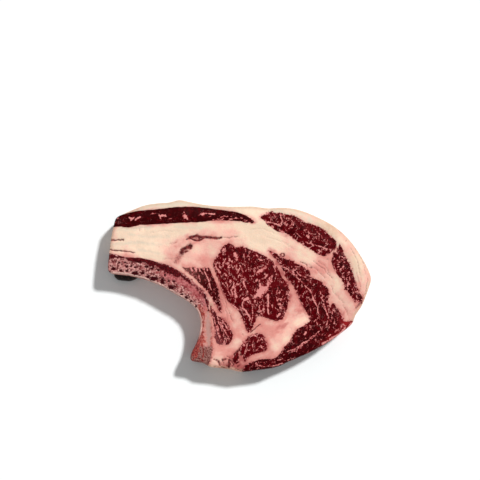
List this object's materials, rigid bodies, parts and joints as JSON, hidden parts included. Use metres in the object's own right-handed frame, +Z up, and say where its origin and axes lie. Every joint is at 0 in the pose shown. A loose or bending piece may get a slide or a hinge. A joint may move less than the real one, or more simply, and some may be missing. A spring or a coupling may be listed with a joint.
{
  "type": "bone-in ribeye steak",
  "caption": "Raw bone-in ribeye steak: a thick slice of marbled muscles held in fat along a curved rib, lying flat on its cut face.",
  "frame": {"origin": "centre of the steak's bounding box, on its flat underside", "axes": "+X along the steak, from the rib's free end to the rounded fat end; +Y from the rib's foot to the outer fat; +Z up through the thickness"},
  "size_m": [0.283, 0.185, 0.0354],
  "materials": {
    "fat": "moist raw fat, cream to pink",
    "bone": "sawn spongy bone, pink with dark pores",
    "muscle": "moist raw muscle, deep red with pink marbling",
    "dark_meat": "moist, nearly black red"
  },
  "bodies": {
    "root": {"fat_body": "fat", "rib_bone": "bone", "under_rib_meat": "dark_meat", "top_strip_muscle": "muscle", "front_cap_muscle": "muscle", "side_cap_muscle": "muscle", "eye_muscle": "muscle", "ribeye_cap_muscle": "muscle", "lower_muscle": "muscle", "lower_muscle_foot": "muscle", "rib_finger_upper": "muscle", "rib_finger_lower": "muscle"}
  },
  "joints": []
}
